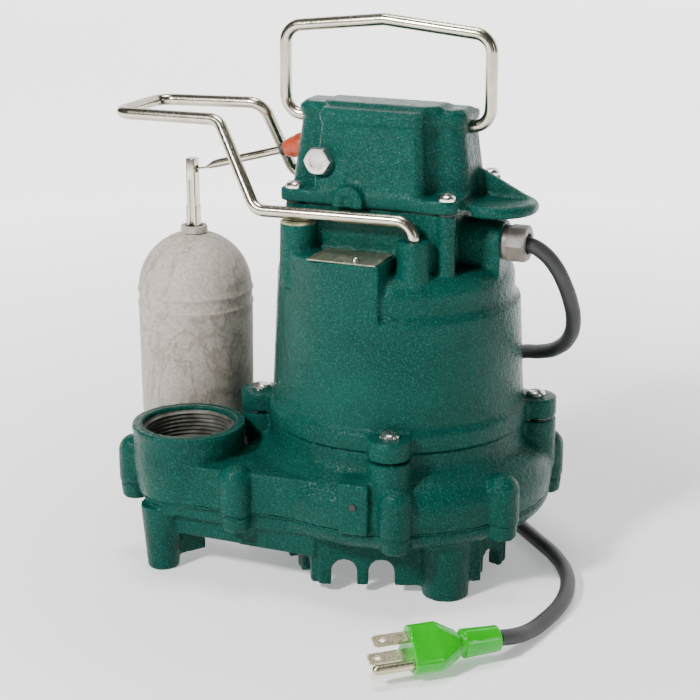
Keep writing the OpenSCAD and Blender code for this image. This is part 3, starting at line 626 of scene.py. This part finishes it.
finish_piece(thread_ridge(), THREAD)
finish_piece(lathe("discharge_wall", mm_profile([
    (24.15, 57.2), (23.9, 57.2), (23.9, 76.6), (25.9, 79.15), (26.3, 79.15), (24.15, 76.4)]),
    DISCHARGE), THREAD)

# ------------------------------------------------------------ machined faces

# The thin bright faces on top of the handle's two bosses
BOSS_X, BOSS_Y, BOSS_TOP = -0.0395, 0.041, 0.1905
BOSS_FACE = mm_profile([(0.3, -0.6), (9.3, -0.6), (9.3, 0.05), (8.9, 0.25), (0.3, 0.25)])
for name, y in (("front", -BOSS_Y), ("back", BOSS_Y)):
    finish_piece(lathe("boss_face_" + name, BOSS_FACE, (BOSS_X, y, BOSS_TOP)), BARE)

# The weep hole is too fine for the castings' skin, so a dark disc stands for its mouth and paints the shade inside
# the hole
WEEP_ANGLE = math.radians(-84)
WEEP_Z = 57 * MM
WEEP_FACE = 86.9  # millimetres from the pump's axis
finish_piece(lathe("weep_hole", mm_profile([
    (0, WEEP_FACE - 0.9), (1.9, WEEP_FACE - 0.9), (1.9, WEEP_FACE - 0.1), (1.7, WEEP_FACE),
    (0, WEEP_FACE)]), (0, 0, WEEP_Z), (math.cos(WEEP_ANGLE), math.sin(WEEP_ANGLE), 0), sides=32),
    LOOKS["gasket"])

# ------------------------------------------------------------------- float

FLOAT_AXIS = Vector((*PIVOTS["rod_hang"].xy, 0))
# The float's own sizes, in millimetres
FLOAT_R = 31.5
FLOAT_WALL = 2
NECK_R = 5.9
FLOAT_TOP, FLOAT_BOTTOM = 167.5, 37
SEAM_TOP, SEAM_LOW = 135.7, 127.7
FLOAT_SPLIT = (SEAM_TOP + SEAM_LOW) / 2
DOME_STEPS = 28


def dome(radius, height):
    """Points of a domed end, from its widest place in to the neck."""
    top = math.acos(NECK_R / radius)
    return [(radius * math.cos(top * i / DOME_STEPS), height * math.sin(top * i / DOME_STEPS))
            for i in range(DOME_STEPS + 1)]


def shell_profile(seam, tip):
    """A float half in section: its seam, its outside, its open neck and its inside."""
    way = 1 if tip > seam else -1
    start = tip - way * min(abs(tip - seam), FLOAT_R)
    height = abs(tip - start)
    inner_r = FLOAT_R - FLOAT_WALL
    outside = [(r, start + way * h) for r, h in dome(FLOAT_R, height)]
    inside = [(r, start + way * h) for r, h in dome(inner_r, height - FLOAT_WALL)]
    ridge = [(FLOAT_R, seam - way * 1.5), (FLOAT_R + 0.55, seam - way * 0.75),
             (FLOAT_R + 0.75, seam), (FLOAT_R + 0.35, seam + way * 0.7)]
    rim = [(inner_r, FLOAT_SPLIT), (FLOAT_R, FLOAT_SPLIT)]
    return mm_profile(rim + ridge + outside[2:] + inside[::-1])


for name, seam, tip, node in (
        ("float_top", SEAM_TOP, FLOAT_TOP, "float_upper_shell"),
        ("float_foot", SEAM_LOW, FLOAT_BOTTOM, "float_lower_shell")):
    shell = lathe(name, shell_profile(seam, tip), FLOAT_AXIS, sides=120)
    finish_piece(shade_by_angle(shell, degrees=60), LOOKS["float_shell"], "float", (node,))
tube = lathe("float_tube", mm_profile([
    (4.7, FLOAT_BOTTOM), (NECK_R, FLOAT_BOTTOM), (NECK_R, 166.5), (7.4, 167.3), (7.4, 170.2),
    (7.0, 170.9), (5.5, 171), (4.9, 170.6)]), FLOAT_AXIS)
finish_piece(shade_by_angle(tube), LOOKS["float_shell"], "float", ("float_sleeve",))

# --------------------------------------------------------------- arm and rod

ARM_PIVOT = PIVOTS["arm_tilt"]
ARM_TIP = PIVOTS["rod_hang"]
ARM_DIR = (ARM_TIP - ARM_PIVOT).normalized()
ARM_LENGTH = (ARM_TIP - ARM_PIVOT).length
ARM_SIDE = Vector((0, 1, 0))
ARM_UP = ARM_SIDE.cross(ARM_DIR).normalized()


def arm_wire(stations):
    """A closed skin through elliptical sections: along, up, half height, half width."""
    verts = []
    for along, up, half_up, half_side in stations:
        for j in range(WIRE_SIDES):
            a = 2 * math.pi * j / WIRE_SIDES
            verts.append(ARM_PIVOT + ARM_DIR * along * MM + ARM_UP * (up + half_up * math.sin(a)) * MM
                         + ARM_SIDE * half_side * math.cos(a) * MM)
    return mesh_object("arm_wire", verts, tube_faces(len(stations), WIRE_SIDES))


end = ARM_LENGTH / MM
arm = arm_wire([
    (-18, 0, 0.8, 0.8), (-17, 0, 2.0, 2.0), (-15, 0, 2.3, 2.3), (end - 17, 0, 2.3, 2.3),
    (end - 13.5, -0.1, 2.1, 2.3), (end - 10.5, -0.7, 1.2, 2.1), (end - 8, -0.9, 0.65, 1.75),
    (end - 5, -0.6, 0.55, 1.55), (end, 0, 0.55, 1.5), (end + 3.6, 0.1, 0.5, 1.4),
    (end + 4, 0.1, 0.25, 1.0)])
finish_piece(arm, LOOKS["stainless"], "arm", ("float_arm",))
boot = lathe("rubber_boot", mm_profile([
    (2.3, -6.6), (4.5, -5.9), (6.4, -3.8), (7.4, 0), (7.3, 2.5), (6.7, 3.3), (6.75, 4.3), (6.9, 6.2),
    (6.6, 8.4), (5.9, 9.6), (5.7, 10.3), (5.75, 11.2), (5.3, 13.2), (4.4, 15.6), (3.9, 16.4),
    (2.3, 16.5)]), ARM_PIVOT, ARM_DIR)
finish_piece(boot, LOOKS["boot"], "arm", ("arm_boot",))
collar = lathe("boot_collar", mm_profile([
    (2.3, 16.5), (3.4, 16.5), (3.5, 16.9), (3.5, 18.7), (3.2, 19.1), (2.3, 19.1)]),
    ARM_PIVOT, ARM_DIR)
finish_piece(shade_by_angle(collar), LOOKS["collar"], "arm", ("arm_collar",))
finish_piece(bevelled("float_rod", "rod_bar", width=0.45 * MM, angle=30, segments=2),
             LOOKS["stainless"], "rod", ("float_rod",))

# -------------------------------------------------------------- fine fittings

finish_piece(bevelled("gland_nut", "gland_hex", width=0.7 * MM, angle=35, segments=3),
             LOOKS["gland"], replaces=("gland_nut",))
finish_piece(bevelled("case_bolt", "bolt_hex", width=0.35 * MM, angle=35, segments=2),
             LOOKS["bolt_head"], replaces=("case_bolt",))

# -------------------------------------------------------------------- stage


def area_light(name, where, target, size, power, size_y=None):
    data = bpy.data.lights.new(name, "AREA")
    data.energy = power
    data.size = size
    if size_y:
        data.shape = "RECTANGLE"
        data.size_y = size_y
    obj = bpy.data.objects.new(name, data)
    obj.location = where
    aim = Vector(target) - Vector(where)
    obj.rotation_euler = aim.to_track_quat("-Z", "Y").to_euler()
    bpy.context.scene.collection.objects.link(obj)


def sheet_material(name, tone, glow, near=None):
    """White paper that glows; the last argument is the share of the glow right under the object, where the dimmed
    glow is a painted shadow.
    """
    m = Nodes(name)
    m.colour(m.ramp(m.noise(3, 3), [(0.3, tone - 0.02), (0.7, tone + 0.02)]))
    m.rough(m.ramp(m.noise(40, 2), [(0.3, 0.8), (0.7, 0.9)]))
    m.fixed(Emission_Color=(1, 1, 1, 1), Emission_Strength=glow, Specular_IOR_Level=0.1)
    if near is not None:
        # Painted shadow: the floor's glow fades towards the pump.
        painted_shadow = m.add("ShaderNodeTexGradient", gradient_type="SPHERICAL")
        m.join(m.stretched((1 / PAINTED_SHADOW_RADIUS,) * 3), painted_shadow, "Vector")
        m.join(m.ramp(painted_shadow.outputs["Fac"], [(0.3, 1.0), (0.85, near)]), m.shader, "Emission Color")
    return m.material


# Radius in metres of the gradient that dims the floor's glow around the pump into a painted shadow
PAINTED_SHADOW_RADIUS = 1.25
# The two sheets in metres: half width, the wall's distance behind the pump, its height
SHEET, BACK, WALL_TOP = 5.0, 3.0, 4.0
PAPER_TONE = 0.88


def sheet(name, corners, material):
    obj = mesh_object(name, corners, [(0, 1, 2, 3)], smooth=False)
    obj.data.materials.append(material)


def make_stage():
    sheet("floor", [(-SHEET, -SHEET, 0), (SHEET, -SHEET, 0), (SHEET, BACK, 0), (-SHEET, BACK, 0)],
          sheet_material("floor_paper", PAPER_TONE, glow=2.3, near=0.16))
    sheet("wall", [(-SHEET, BACK, 0), (SHEET, BACK, 0), (SHEET, BACK, WALL_TOP),
                   (-SHEET, BACK, WALL_TOP)], sheet_material("wall_paper", PAPER_TONE, glow=1.0))
    world = bpy.data.worlds.new("studio")
    bpy.context.scene.world = world
    world.use_nodes = True
    background = world.node_tree.nodes["Background"]
    background.inputs["Color"].default_value = (0.95, 0.98, 1.0, 1)
    background.inputs["Strength"].default_value = 0.08
    area_light("key", (-0.45, -1.15, 1.0), target=(0, 0, 0.12), size=0.2, power=32)
    area_light("right", (1.3, -0.5, 0.5), target=(0, 0, 0.12), size=0.12, power=1.5, size_y=0.7)
    area_light("top", (-0.1, 0.05, 1.4), target=(0, 0, 0.1), size=0.45, power=12)


make_stage()
